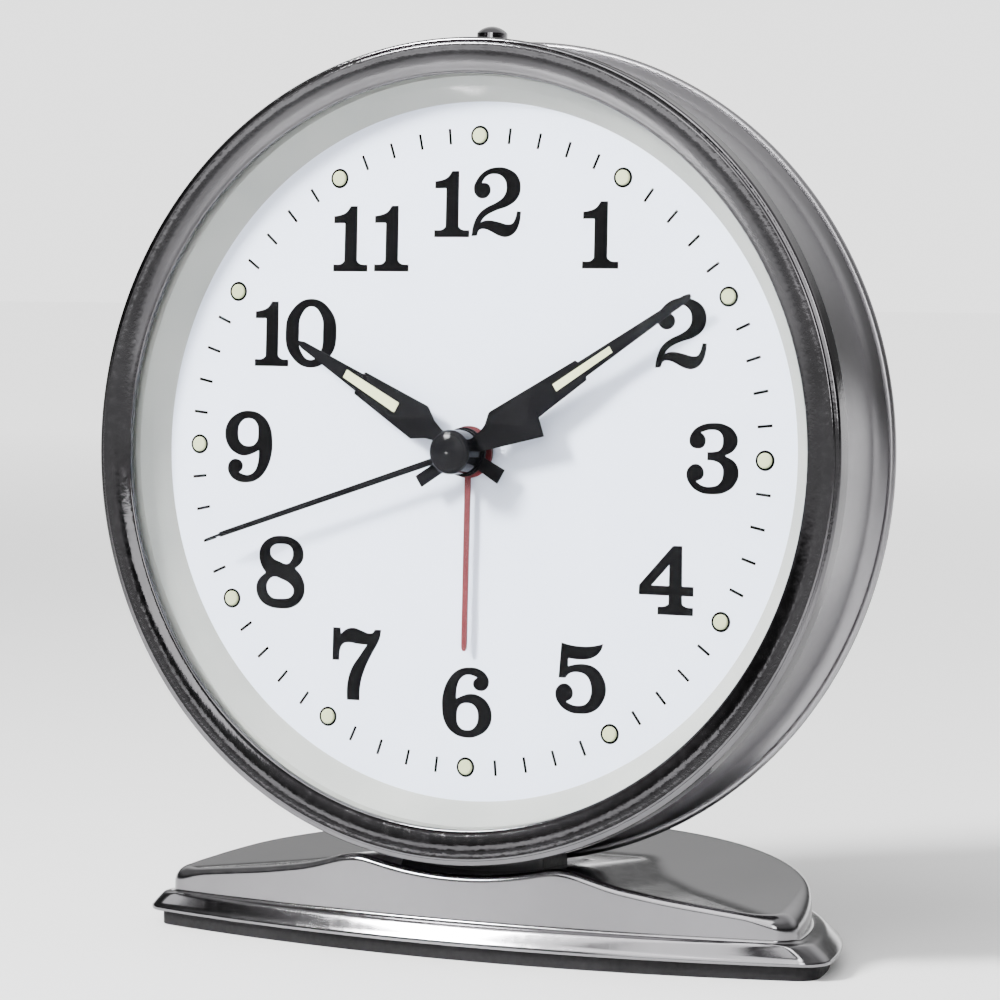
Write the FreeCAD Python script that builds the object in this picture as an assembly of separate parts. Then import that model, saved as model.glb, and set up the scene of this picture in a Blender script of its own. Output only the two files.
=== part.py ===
"""Round quartz alarm clock in a metal drum, standing on a weighted pedestal base.

All lengths are millimetres.  The origin lies on the underside of the base pad,
straight below the centre of the dial, with +Z up and +Y towards the back.

The drum (the "head") is modelled about its own axis: the dial's front face is the
plane y = 0, its centre is the head's origin, and y grows towards the back.  export()
then leans the head back and lifts it over the base.
"""
import FreeCAD
import Part
import math
import os

from FreeCAD import Vector

# ---------------------------------------------------------------- driving dimensions
LEAN_DEG = 3.0                  # the dial leans back by this much
DIAL_HEIGHT = 63.85             # dial centre above the table

# drum, radius and depth along the head's axis
BEZEL_R = 52.0
BEZEL_OPENING_R = 47.5
BEZEL_FRONT = -5.7
BEZEL_BACK = -2.6
BAND_R = 50.4                   # outside of the case band where it enters the bezel
BAND_WAIST_R = 50.9
BAND_WALL = 0.8
BEAD_R = 52.8                   # rolled bead round the back of the band
BEAD_Y = 11.25
LIP_BACK = -4.3                 # back of the bezel's lip, where the crystal seats
RING_FRONT = -2.9               # back of the crystal's rim, front of the reflector ring
CRYSTAL_R = 48.9
CRYSTAL_DOME_R = 47.0
CRYSTAL_RISE = 5.2
DIAL_VISIBLE_R = 44.3
DIAL_BACK = 0.5
SHELF_BACK = 2.5                # back of the ring that carries the dial
BOSS_BACK = 6.0
BOSS_CIRCLE_R = 41.0
BOSS_R = 3.0
COVER_INNER = 18.0              # inside and outside of the rear cover's flat back
COVER_OUTER = 19.5
COVER_FLAT_R = 43.5
SCREW_R = 1.1
SCREW_HEAD_R = 2.1

# dots of luminous paint
DOT_CIRCLE_R = 40.0
DOT_R = 0.95
DOT_RISE = 0.28
DOT_SIDES = 24

# movement box
BOX_HALF_X = 29.0
BOX_TOP = 23.0
BOX_BOTTOM = -31.0
BOX_WALL = 1.5
PLATE_BACK = 2.0                # back of the movement's front plate
BRIDGE = (8.0, 8.8)             # front and back of the middle plate
BACK_WALL = 16.5
TRAIN_FLOOR = -13.2             # partition between the wheels and the battery
BATTERY_R = 7.25
BATTERY_HALF = 24.75
BATTERY_Y = 9.8
BATTERY_Z = -22.1
BATTERY_NUB = 1.2
BAY_HALF_X = 26.5
BAY_Z = (-29.5, -14.7)
PLATE_POSTS = ((-25.0, -10.5), (25.0, -10.5), (-25.0, 18.7), (25.0, 18.7))
POST_R = 1.6
PLATE_SCREW_R = 0.7
PLATE_SCREW_HEAD_R = 1.4
SOUNDER_AT = (18.0, -4.0)
SOUNDER_R = 7.0
SOUND_HOLE_R = 0.8
SOUND_RING_STEP = 2.6
IRON = (13.4, 14.2)             # front and back of the stator and the coil's core
COIL_X = -23.5
BOARD = (14.6, 15.4)

# wheels: clearance of running fits, tooth shape, layers along the axis
RUN = 0.05
PRESSURE_DEG = 20.0
ADDENDUM = 0.85
DEDENDUM = 1.15
BACKLASH = 0.09
FINE = 0.25                     # module of the going train
TINY = 0.21                     # module of the rotor's pinion and the first wheel
MEDIUM = 0.30                   # module of the motion work
COARSE = 0.32                   # module of the alarm wheels
ALARM_LAYER = (2.6, 3.4)
HOUR_LAYER = (4.0, 4.8)
MINUTE_LAYER = (5.4, 6.2)
CENTRE_LAYER = (6.8, 7.5)
THIRD_LAYER = (9.3, 10.0)
SECOND_LAYER = (10.5, 11.2)
FIRST_LAYER = (11.7, 12.4)
MAGNET = (12.9, 14.9)
MAGNET_R = 3.0
ARBOR_R = 0.5
KNOB_ARBOR_R = 0.8

ROTOR_PINION = 10
FIRST_WHEEL = 60
FIRST_PINION = 10
SECOND_WHEEL = 50
SECOND_PINION = 10
THIRD_WHEEL = 75
THIRD_PINION = 10
CENTRE_WHEEL = 80
CANNON_PINION = 15
MOTION_WHEEL = 45
MOTION_PINION = 12
HOUR_WHEEL = 48
ALARM_WHEEL = 48
ALARM_PINION = 24

# tubes on the centre axis
MINUTE_TUBE_R = 1.1
HOUR_TUBE_R = 1.75
ALARM_TUBE_R = 2.4
BUSH_R = 2.9

# hands: clock angles, and the depth of each hand's front
HAND_THICK = 0.25
ALARM_FRONT = -1.35
HOUR_FRONT = -2.75
MINUTE_FRONT = -3.25
SECOND_FRONT = -3.85
HOUR_ANGLE = 299.3
MINUTE_ANGLE = 57.0
SECOND_ANGLE = 251.4
ALARM_ANGLE = 180.0
LUME_THICK = 0.12
CAP_R = 2.8
CAP_FRONT = -7.4
CAP_BROW = 0.6                  # rounding of the cap's front edge
CAP_DOME = 0.4
CAP_BORE_FRONT = CAP_FRONT + 1.5

# knobs on the back
KNOB_R = 6.0
KNOB_FRONT = 20.0
KNOB_BACK = 24.6
KNOB_GRIPS = 24
KNOB_GRIP_DEPTH = 0.35
KNOB_RIM = 1.6                  # raised rim round the dished back
KNOB_DISH = 0.6
KNOB_BORE_END = KNOB_BACK - 1.0

# push button on top of the drum
BUTTON_Y = 2.8
BUTTON_TOP = 54.0
BUTTON_R = 1.95
BUTTON_DOME = 0.9
BUTTON_STEM_R = 1.2
BUTTON_HEAD_LOW = 52.2
BUTTON_STEM_LOW = 45.05
BUTTON_TRAVEL = 1.0
SWITCH_TOP = 43.2
SWITCH_HALF_Y = 2.2

# base, measured from the table
PAD_TOP = 1.85
SKIRT_TOP = 4.7
BACK_ARC_Y = -4.2               # centre of every arc along the back of the base
# plans: y of the front, radius of the front arc, of the back arc and of the tips
PAD_PLAN = (-6.8, 170.0, 47.1, 3.0)
SKIRT_PLAN = (-7.6, 176.0, 48.6, 3.5)
BODY_PLAN = (-5.6, 234.0, 44.7, 3.0)
SKIRT_ROUNDING = 2.3
DECK_HEIGHT = 8.0              # height of the sloping deck at y = 0
DECK_SLOPE = 0.08
RIDGE_FALL = 0.09               # the ridge sinks into the deck towards the back
RIDGE_CREST_Y = -5.0            # its profile has its full height here
SADDLE_R = 53.4                 # hollow in the ridge, round the head's axis
SADDLE_BACK = 13.0
SHELL_WALL = 1.4
PLATE_INSET = 2.2
PLATE_TOP = 3.05
WEIGHT_GAP = 0.3
FOOT_HALF_X = 10.0
FOOT_Y = (0.0, 7.0)
FOOT_LOW = 6.0
HEAD_SCREW_X = 6.0
HEAD_SCREW_Y = 3.5
HEAD_SCREW_R = 1.5
HEAD_SCREW_TOP = 9.5

AXIS_Y = Vector(0, 1, 0)
UP = Vector(0, 0, 1)


# ---------------------------------------------------------------- small helpers
def disc(radius, y0, y1, x=0.0, z=0.0):
    """Cylinder along the head's axis."""
    return Part.makeCylinder(radius, y1 - y0, Vector(x, y0, z), AXIS_Y)


def slab(x0, x1, y0, y1, z0, z1):
    return Part.makeBox(x1 - x0, y1 - y0, z1 - z0, Vector(x0, y0, z0))


def pillar(radius, z0, z1, x=0.0, y=0.0):
    """Upright cylinder."""
    return Part.makeCylinder(radius, z1 - z0, Vector(x, y, z0), UP)


def outline(start, *steps):
    """Closed wire: a step of one point is a line, of two points an arc through the first."""
    here = Vector(*start)
    edges = []
    for step in steps:
        if len(step) == 2:
            middle, end = Vector(*step[0]), Vector(*step[1])
            edges.append(Part.Arc(here, middle, end).toShape())
        else:
            end = Vector(*step[0])
            edges.append(Part.LineSegment(here, end).toShape())
        here = end
    edges.append(Part.LineSegment(here, Vector(*start)).toShape())
    return Part.Wire(edges)


def turned(start, *steps):
    """Solid of revolution about the head's axis from (radius, y) points."""
    wire = outline(start, *steps)
    return Part.Face(wire).revolve(Vector(0, 0, 0), AXIS_Y, 360)


def dome_middle(half, rise, apex):
    """(radius, y) halfway along a round dome of that half width and rise."""
    radius = (half ** 2 + rise ** 2) / (2 * rise)
    return half / 2, apex + radius - math.sqrt(radius ** 2 - (half / 2) ** 2)


def plate(points, y0, y1):
    """Straight-sided flat part from (x, z) points, y0 to y1 deep."""
    corners = [Vector(x, y0, z) for x, z in points]
    face = Part.Face(Part.makePolygon(corners + corners[:1]))
    return face.extrude(Vector(0, y1 - y0, 0))


def polar(radius, degrees):
    """(x, z) at an angle counted anticlockwise from +X, seen from the front."""
    turn = math.radians(degrees)
    return radius * math.cos(turn), radius * math.sin(turn)


def export(node, shape, on_head=True):
    if on_head:
        shape = shape.copy()
        shape.rotate(Vector(0, 0, 0), Vector(1, 0, 0), -LEAN_DEG)
        shape.translate(Vector(0, 0, DIAL_HEIGHT))
    shape.exportStep("parts/" + node + ".step")


# ---------------------------------------------------------------- wheels
def tooth_half_angle(teeth, module, radius):
    """Half the angle that a tooth fills at a radius, on an involute flank."""
    pitch_r = teeth * module / 2
    base_r = pitch_r * math.cos(math.radians(PRESSURE_DEG))
    at_pitch = math.pi / (2 * teeth) - BACKLASH / (2 * pitch_r)
    lean = math.acos(min(1.0, base_r / max(radius, base_r)))
    pressure = math.radians(PRESSURE_DEG)
    involute = (math.tan(pressure) - pressure) - (math.tan(lean) - lean)
    return at_pitch + involute


def gear(teeth, module, layer, centre, phase):
    """Spur wheel; phase is the angle of one tooth's middle, in radians."""
    pitch_r = teeth * module / 2
    tip_r = pitch_r + ADDENDUM * module
    root_r = pitch_r - DEDENDUM * module
    flank = [(root_r, tooth_half_angle(teeth, module, pitch_r - 0.4 * module)),
             (pitch_r, tooth_half_angle(teeth, module, pitch_r)),
             (tip_r, tooth_half_angle(teeth, module, tip_r))]
    points = []
    for tooth in range(teeth):
        middle = phase + 2 * math.pi * tooth / teeth
        climb = [(radius, middle - half) for radius, half in flank]
        fall = [(radius, middle + half) for radius, half in reversed(flank)]
        for radius, angle in climb + fall:
            points.append((centre[0] + radius * math.cos(angle), centre[1] + radius * math.sin(angle)))
    return plate(points, layer[0], layer[1])


def meshing_phase(driver_teeth, driver_centre, driver_phase, teeth, centre):
    """Phase that puts a gap of the second wheel where the first wheel has a tooth."""
    line = math.atan2(centre[1] - driver_centre[1], centre[0] - driver_centre[0])
    return line + math.pi - (driver_phase - line) * driver_teeth / teeth - math.pi / teeth


def spokes(radius, layer, centre, holes, hole_r):
    """Round lightening holes through a wheel's web."""
    cut = []
    for index in range(holes):
        x, z = polar(radius, 360.0 * index / holes)
        cut.append(disc(hole_r, layer[0] - 1, layer[1] + 1, centre[0] + x, centre[1] + z))
    return cut


# arbor positions seen from the front, (x, z)
CENTRE = (0.0, 0.0)
THIRD_AT = ((THIRD_PINION + CENTRE_WHEEL) * FINE / 2, 0.0)
THIRD_MODULE = 2 * THIRD_AT[0] / (SECOND_PINION + THIRD_WHEEL)
FIRST_AT = (-(FIRST_PINION + SECOND_WHEEL) * FINE / 2, 0.0)
ROTOR_STEP = polar((ROTOR_PINION + FIRST_WHEEL) * TINY / 2, 190.0)
ROTOR_AT = (FIRST_AT[0] + ROTOR_STEP[0], FIRST_AT[1] + ROTOR_STEP[1])
MOTION_AT = polar((CANNON_PINION + MOTION_WHEEL) * MEDIUM / 2, 156.4)
TIME_STEP = polar((CANNON_PINION + MOTION_WHEEL) * MEDIUM / 2, 125.6)
TIME_AT = (MOTION_AT[0] + TIME_STEP[0], MOTION_AT[1] + TIME_STEP[1])
ALARM_AT = polar((ALARM_PINION + ALARM_WHEEL) * COARSE / 2, 60.0)


def second_train():
    second_wheel = gear(SECOND_WHEEL, FINE, SECOND_LAYER, CENTRE, 0.0)
    second_wheel = second_wheel.cut(spokes(3.4, SECOND_LAYER, CENTRE, 5, 1.3))
    second_pinion = gear(SECOND_PINION, THIRD_MODULE, (9.2, SECOND_LAYER[0]), CENTRE, 0.0)
    arbor = disc(ARBOR_R, CAP_BORE_FRONT, BACK_WALL + 0.9)
    second_arbor = arbor.fuse([second_wheel, second_pinion]).removeSplitter()

    first_pinion_phase = meshing_phase(SECOND_WHEEL, CENTRE, 0.0, FIRST_PINION, FIRST_AT)
    first_wheel = gear(FIRST_WHEEL, TINY, FIRST_LAYER, FIRST_AT, 0.0)
    first_wheel = first_wheel.cut(spokes(3.7, FIRST_LAYER, FIRST_AT, 5, 1.4))
    first_pinion = gear(FIRST_PINION, FINE, (10.4, FIRST_LAYER[0]), FIRST_AT, first_pinion_phase)
    first_arbor = disc(ARBOR_R, BRIDGE[0] + 0.2, BACK_WALL + 0.8, *FIRST_AT)
    first = first_arbor.fuse([first_wheel, first_pinion]).removeSplitter()

    rotor_phase = meshing_phase(FIRST_WHEEL, FIRST_AT, 0.0, ROTOR_PINION, ROTOR_AT)
    rotor_pinion = gear(ROTOR_PINION, TINY, (11.6, MAGNET[0]), ROTOR_AT, rotor_phase)
    rotor_arbor = disc(ARBOR_R, BRIDGE[0] + 0.2, BACK_WALL + 0.8, *ROTOR_AT)
    rotor_arbor = rotor_arbor.fuse(rotor_pinion).removeSplitter()
    magnet = disc(MAGNET_R, MAGNET[0], MAGNET[1], *ROTOR_AT)
    magnet = magnet.cut(disc(ARBOR_R, MAGNET[0] - 1, MAGNET[1] + 1, *ROTOR_AT))

    third_phase = meshing_phase(SECOND_PINION, CENTRE, 0.0, THIRD_WHEEL, THIRD_AT)
    third_wheel = gear(THIRD_WHEEL, THIRD_MODULE, THIRD_LAYER, THIRD_AT, third_phase)
    third_wheel = third_wheel.cut(spokes(5.4, THIRD_LAYER, THIRD_AT, 6, 1.9))
    third_pinion = gear(THIRD_PINION, FINE, (6.6, THIRD_LAYER[0]), THIRD_AT, math.pi)
    third_arbor = disc(ARBOR_R, PLATE_BACK - 0.9, BACK_WALL + 0.8, *THIRD_AT)
    third = third_arbor.fuse([third_wheel, third_pinion]).removeSplitter()

    centre_phase = meshing_phase(THIRD_PINION, THIRD_AT, math.pi, CENTRE_WHEEL, CENTRE)
    centre_wheel = gear(CENTRE_WHEEL, FINE, CENTRE_LAYER, CENTRE, centre_phase)
    hub_hole = disc(MINUTE_TUBE_R + RUN, 0, BACK_WALL)
    centre_wheel = centre_wheel.cut([hub_hole] + spokes(5.6, CENTRE_LAYER, CENTRE, 6, 2.1))

    export("second_arbor", second_arbor)
    export("first_wheel", first)
    export("rotor_arbor", rotor_arbor)
    export("rotor_magnet", magnet)
    export("third_wheel", third)
    export("centre_wheel", centre_wheel)


def motion_work():
    cannon_pinion = gear(CANNON_PINION, MEDIUM, MINUTE_LAYER, CENTRE, 0.0)
    minute_tube = disc(MINUTE_TUBE_R, MINUTE_FRONT, BRIDGE[0] - 0.15).fuse(cannon_pinion)
    minute_tube = minute_tube.removeSplitter().cut(disc(ARBOR_R + RUN, -10, 20))

    motion_phase = meshing_phase(CANNON_PINION, CENTRE, 0.0, MOTION_WHEEL, MOTION_AT)
    motion_wheel = gear(MOTION_WHEEL, MEDIUM, MINUTE_LAYER, MOTION_AT, motion_phase)
    motion_wheel = motion_wheel.cut(spokes(4.4, MINUTE_LAYER, MOTION_AT, 6, 1.3))
    motion_pinion = gear(MOTION_PINION, MEDIUM, (3.9, MINUTE_LAYER[0]), MOTION_AT, 0.0)
    motion = motion_wheel.fuse(motion_pinion).removeSplitter()
    motion = motion.cut(disc(ARBOR_R + RUN, 0, 10, *MOTION_AT))

    hour_phase = meshing_phase(MOTION_PINION, MOTION_AT, 0.0, HOUR_WHEEL, CENTRE)
    hour_wheel = gear(HOUR_WHEEL, MEDIUM, HOUR_LAYER, CENTRE, hour_phase)
    hour_wheel = hour_wheel.cut(spokes(4.5, HOUR_LAYER, CENTRE, 6, 1.3))
    hour_tube = disc(HOUR_TUBE_R, HOUR_FRONT, HOUR_LAYER[1]).fuse(hour_wheel).removeSplitter()
    hour_tube = hour_tube.cut(disc(MINUTE_TUBE_R + RUN, -10, 20))

    time_phase = meshing_phase(MOTION_WHEEL, MOTION_AT, motion_phase, CANNON_PINION, TIME_AT)
    time_pinion = gear(CANNON_PINION, MEDIUM, MINUTE_LAYER, TIME_AT, time_phase)
    time_arbor = disc(KNOB_ARBOR_R, PLATE_BACK - 0.9, KNOB_BORE_END, *TIME_AT)
    time_arbor = time_arbor.fuse(time_pinion).removeSplitter()

    export("minute_tube", minute_tube)
    export("motion_wheel", motion)
    export("hour_wheel", hour_tube)
    export("time_arbor", time_arbor)
    export("time_knob", knob(TIME_AT))


def alarm_work():
    alarm_wheel = gear(ALARM_WHEEL, COARSE, ALARM_LAYER, CENTRE, 0.0)
    alarm_wheel = alarm_wheel.cut(spokes(5.1, ALARM_LAYER, CENTRE, 6, 1.5))
    tube = disc(ALARM_TUBE_R, ALARM_FRONT, ALARM_LAYER[1]).fuse(alarm_wheel).removeSplitter()
    tube = tube.cut(disc(HOUR_TUBE_R + RUN, -10, 20))

    phase = meshing_phase(ALARM_WHEEL, CENTRE, 0.0, ALARM_PINION, ALARM_AT)
    pinion = gear(ALARM_PINION, COARSE, ALARM_LAYER, ALARM_AT, phase)
    arbor = disc(KNOB_ARBOR_R, PLATE_BACK - 0.9, KNOB_BORE_END, *ALARM_AT)
    arbor = arbor.fuse(pinion).removeSplitter()

    export("alarm_wheel", tube)
    export("alarm_arbor", arbor)
    export("alarm_knob", knob(ALARM_AT))


def knob(centre):
    """Ribbed knob, pressed on its arbor."""
    grips = []
    for index in range(2 * KNOB_GRIPS):
        radius = KNOB_R if index % 2 == 0 else KNOB_R - KNOB_GRIP_DEPTH
        x, z = polar(radius, 180.0 * index / KNOB_GRIPS)
        grips.append((centre[0] + x, centre[1] + z))
    body = plate(grips, KNOB_FRONT, KNOB_BACK)
    dish = disc(KNOB_R - KNOB_RIM, KNOB_BACK - KNOB_DISH, KNOB_BACK + 1, *centre)
    bore = disc(KNOB_ARBOR_R, KNOB_FRONT - 1, KNOB_BORE_END, *centre)
    return body.cut([dish, bore])


# ---------------------------------------------------------------- hands
def hand_blank(half_widths, front, angle, hub_r, bore_r):
    """Flat hand: (distance along, half width) pairs from tail to tip, mirrored, on a hub."""
    right = [(half, along) for along, half in half_widths]
    left = [(-half, along) for along, half in reversed(half_widths)]
    blade = plate(right + left, front, front + HAND_THICK)
    hub = disc(hub_r, front, front + HAND_THICK)
    hand = blade.fuse(hub).removeSplitter().cut(disc(bore_r, front - 1, front + 1))
    return clockwise(hand, angle)


def clockwise(shape, angle):
    """Turn a part drawn at 12 o'clock to a clock angle, as seen from the front."""
    shape = shape.copy()
    shape.rotate(Vector(0, 0, 0), AXIS_Y, angle)
    return shape


def lume_bar(start, end, half_start, half_end, front, angle):
    """Bar of luminous paint on the front of a hand."""
    corners = [(-half_start, start), (half_start, start), (half_end, end), (-half_end, end)]
    return clockwise(plate(corners, front - LUME_THICK, front), angle)


def hands():
    hour = [(-6.1, 1.0), (-2.5, 0.85), (4.2, 0.85), (5.6, 1.3), (7.3, 2.4), (17.2, 1.6), (17.3, 1.2),
            (26.9, 0.45), (27.6, 0.2)]
    minute = [(-7.15, 0.8), (-2.5, 0.8), (3.6, 0.85), (4.6, 1.2), (5.9, 2.25), (19.4, 1.45), (19.6, 1.05),
              (36.0, 0.45), (36.8, 0.2)]
    second = [(-11.8, 1.6), (-2.0, 0.75), (2.0, 0.75), (2.2, 0.42), (36.4, 0.32), (36.5, 0.16), (38.6, 0.1)]
    alarm = [(-1.0, 0.4), (24.8, 0.36), (25.2, 0.15)]
    export("hour_hand", hand_blank(hour, HOUR_FRONT, HOUR_ANGLE, 3.1, HOUR_TUBE_R))
    export("hour_hand_lume", lume_bar(11.0, 19.6, 0.68, 0.55, HOUR_FRONT, HOUR_ANGLE))
    export("minute_hand", hand_blank(minute, MINUTE_FRONT, MINUTE_ANGLE, 2.9, MINUTE_TUBE_R))
    export("minute_hand_lume", lume_bar(15.3, 24.3, 0.5, 0.42, MINUTE_FRONT, MINUTE_ANGLE))
    export("second_hand", hand_blank(second, SECOND_FRONT, SECOND_ANGLE, 1.8, ARBOR_R))
    export("alarm_hand", hand_blank(alarm, ALARM_FRONT, ALARM_ANGLE, 3.3, ALARM_TUBE_R))
    export("second_hand_cap", second_hand_cap())


def second_hand_cap():
    """Round cap with a slightly domed front, pressed on the second arbor."""
    brow_r = CAP_R - CAP_BROW
    brow_y = CAP_FRONT + CAP_DOME
    bend = CAP_BROW * (1 - math.sqrt(0.5))
    cap = turned((0, SECOND_FRONT), ((CAP_R, SECOND_FRONT),), ((CAP_R, brow_y + CAP_BROW),),
                 ((CAP_R - bend, brow_y + bend), (brow_r, brow_y)),
                 (dome_middle(brow_r, CAP_DOME, CAP_FRONT), (0, CAP_FRONT)))
    return cap.cut(disc(ARBOR_R, CAP_BORE_FRONT, SECOND_FRONT + 1))


# ---------------------------------------------------------------- drum
def front_bezel():
    return turned((BEZEL_OPENING_R, LIP_BACK),
                  ((BEZEL_OPENING_R, -4.85),),
                  ((BEZEL_OPENING_R + 0.06, -5.05), (BEZEL_OPENING_R + 0.25, -5.12)),
                  ((49.5, -5.6), (51.25, BEZEL_FRONT)),
                  ((51.35, -5.4),),
                  ((51.62, -5.38),),
                  ((51.9, -5.26), (BEZEL_R, -4.98)),
                  ((BEZEL_R, -2.9),),
                  ((51.92, -2.68), (51.7, BEZEL_BACK)),
                  ((BAND_R, BEZEL_BACK),),
                  ((BAND_R, LIP_BACK),))


def band_outside():
    """Outer skin of the case band, from the bezel to the rolled bead."""
    return [((BAND_R, -2.0),),
            ((BAND_WAIST_R, 7.6),),
            ((51.15, 9.4), (51.95, 10.75)),
            ((BEAD_R, BEAD_Y), (52.1, 11.8))]


def case_band():
    inner_r = BAND_R - BAND_WALL
    shape = turned((BAND_R, LIP_BACK), *band_outside(),
                   ((51.2, 11.8),),
                   ((50.45, 9.9), (BAND_WAIST_R - BAND_WALL, 7.8)),
                   ((inner_r, -2.0),),
                   ((inner_r, LIP_BACK),))
    return shape.cut(pillar(BUTTON_STEM_R + 0.9, 40, 60, 0, BUTTON_Y))


def crystal():
    """Domed glass with a flat rim."""
    outer_apex = LIP_BACK - CRYSTAL_RISE
    inner_apex = RING_FRONT - CRYSTAL_RISE
    return turned((0, outer_apex),
                  (dome_middle(CRYSTAL_DOME_R, CRYSTAL_RISE, outer_apex), (CRYSTAL_DOME_R, LIP_BACK)),
                  ((CRYSTAL_R, LIP_BACK),),
                  ((CRYSTAL_R, RING_FRONT),),
                  ((CRYSTAL_DOME_R, RING_FRONT),),
                  (dome_middle(CRYSTAL_DOME_R, CRYSTAL_RISE, inner_apex), (0, inner_apex)))


def reflector_ring():
    outer = BAND_R - BAND_WALL
    return turned((DIAL_VISIBLE_R, 0), ((47.3, RING_FRONT),), ((outer, RING_FRONT),), ((outer, 0),))


def boss_places():
    return [polar(BOSS_CIRCLE_R, 60.0 * index) for index in range(6)]


def dial_shelf():
    """Ring behind the dial with six screw bosses, notched at the top for the push button."""
    outer = BAND_R - BAND_WALL
    ring = disc(outer, DIAL_BACK, SHELF_BACK).cut(disc(43.4, 0, 10))
    bosses = [disc(BOSS_R, DIAL_BACK, BOSS_BACK, x, z) for x, z in boss_places()]
    shape = ring.fuse(bosses).removeSplitter()
    cuts = [disc(SCREW_R, DIAL_BACK + 1, BOSS_BACK + 1, x, z) for x, z in boss_places()]
    cuts.append(slab(-4.2, 4.2, DIAL_BACK - 1, BOSS_BACK, 38, 55))
    return shape.cut(cuts)


def dial():
    return disc(BAND_R - BAND_WALL, 0, DIAL_BACK).cut(disc(BUSH_R, -1, 2))


def dial_dots():
    """Twelve separate beads of luminous paint, with chamfered rims."""
    points = [polar(DOT_R, 360.0 * corner / DOT_SIDES) for corner in range(DOT_SIDES)]
    bead = plate(points, -DOT_RISE, 0)
    rim = [edge for edge in bead.Edges if max(v.Y for v in edge.Vertexes) < -DOT_RISE / 2]
    bead = bead.makeChamfer(DOT_RISE / 2, rim)
    dots = []
    for hour in range(12):
        x, z = polar(DOT_CIRCLE_R, 90.0 - 30.0 * hour)
        dots.append(bead.translated(Vector(x, 0, z)))
    return Part.makeCompound(dots)


def rear_cover():
    shape = turned((0, COVER_OUTER), ((COVER_FLAT_R, COVER_OUTER),),
                   ((46.6, 18.3), (48.6, 14.9)),
                   ((50.9, 12.7),), ((50.9, 11.8),), ((49.9, 11.8),), ((49.9, 9.0),), ((48.6, 9.0),),
                   ((48.6, 12.6),), ((47.2, 14.3),), ((45.4, 17.2), (COVER_FLAT_R - 0.6, COVER_INNER)),
                   ((0, COVER_INNER),))
    posts = [disc(BOSS_R, BOSS_BACK, COVER_INNER + 0.5, x, z) for x, z in boss_places()]
    shape = shape.fuse(posts).removeSplitter()
    cuts = [disc(SCREW_R, 0, 30, x, z) for x, z in boss_places()]
    cuts += [disc(SCREW_HEAD_R + 0.15, COVER_OUTER - 1.6, 30, x, z) for x, z in boss_places()]
    cuts += [disc(KNOB_ARBOR_R + 0.4, 0, 30, *TIME_AT), disc(KNOB_ARBOR_R + 0.4, 0, 30, *ALARM_AT)]
    cuts.append(slab(-BAY_HALF_X, BAY_HALF_X, 17, 21, *BAY_Z))
    cuts.append(slab(-4.3, 4.3, 17, 21, 28.2, 31.8))
    cuts += sound_holes()
    return shape.cut(cuts)


def sound_holes():
    """Rings of round holes in front of the sounder."""
    holes = [disc(SOUND_HOLE_R, 17, 21, *SOUNDER_AT)]
    for ring in (1, 2):
        for index in range(6 * ring):
            x, z = polar(SOUND_RING_STEP * ring, 60.0 * index / ring)
            holes.append(disc(SOUND_HOLE_R, 17, 21, SOUNDER_AT[0] + x, SOUNDER_AT[1] + z))
    return holes


def cover_screws():
    """Six pan-head screws with crossed slots."""
    screws = []
    for x, z in boss_places():
        shank = disc(SCREW_R, DIAL_BACK + 1.4, COVER_OUTER - 1.6, x, z)
        head = disc(SCREW_HEAD_R, COVER_OUTER - 1.6, COVER_OUTER - 0.2, x, z)
        slot = slab(x - 1.4, x + 1.4, COVER_OUTER - 0.9, COVER_OUTER, z - 0.25, z + 0.25)
        cross = slab(x - 0.25, x + 0.25, COVER_OUTER - 0.9, COVER_OUTER, z - 1.4, z + 1.4)
        screws.append(shank.fuse(head).removeSplitter().cut([slot, cross]))
    return Part.makeCompound(screws)


def battery_door():
    gap = 0.3
    panel = slab(-BAY_HALF_X + gap, BAY_HALF_X - gap, COVER_INNER, COVER_OUTER,
                 BAY_Z[0] + gap, BAY_Z[1] - gap)
    ribs = [slab(-6, 6, COVER_OUTER - 0.5, COVER_OUTER + 1, z, z + 0.7) for z in (-19.2, -17.8, -16.4)]
    return panel.cut(ribs)


def drum():
    export("front_bezel", front_bezel())
    export("case_band", case_band())
    export("crystal", crystal())
    gasket_outer = BAND_R - BAND_WALL
    export("crystal_gasket", disc(gasket_outer, LIP_BACK, RING_FRONT).cut(disc(CRYSTAL_R, -9, 9)))
    export("reflector_ring", reflector_ring())
    export("dial", dial())
    export("dial_dots", dial_dots())
    export("dial_shelf", dial_shelf())
    export("rear_cover", rear_cover())
    export("cover_screws", cover_screws())
    export("battery_door", battery_door())


# ---------------------------------------------------------------- movement, fixed pieces
def front_plate():
    base = slab(-BOX_HALF_X, BOX_HALF_X, DIAL_BACK, PLATE_BACK, BOX_BOTTOM, BOX_TOP)
    bush = disc(BUSH_R, -0.3, DIAL_BACK)
    posts = [disc(POST_R, PLATE_BACK, BRIDGE[0], x, z) for x, z in PLATE_POSTS]
    motion_post = disc(ARBOR_R, PLATE_BACK, MINUTE_LAYER[1] + 0.3, *MOTION_AT)
    shape = base.fuse([bush, motion_post] + posts).removeSplitter()
    cuts = [disc(ALARM_TUBE_R + RUN, -1, 5)]
    cuts += [disc(PLATE_SCREW_R, PLATE_BACK + 2, 20, x, z) for x, z in PLATE_POSTS]
    cuts.append(disc(ARBOR_R + RUN, PLATE_BACK - 1.0, 5, *THIRD_AT))
    cuts += [disc(KNOB_ARBOR_R + RUN, PLATE_BACK - 1.0, 5, *place) for place in (TIME_AT, ALARM_AT)]
    return shape.cut(cuts)


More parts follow.
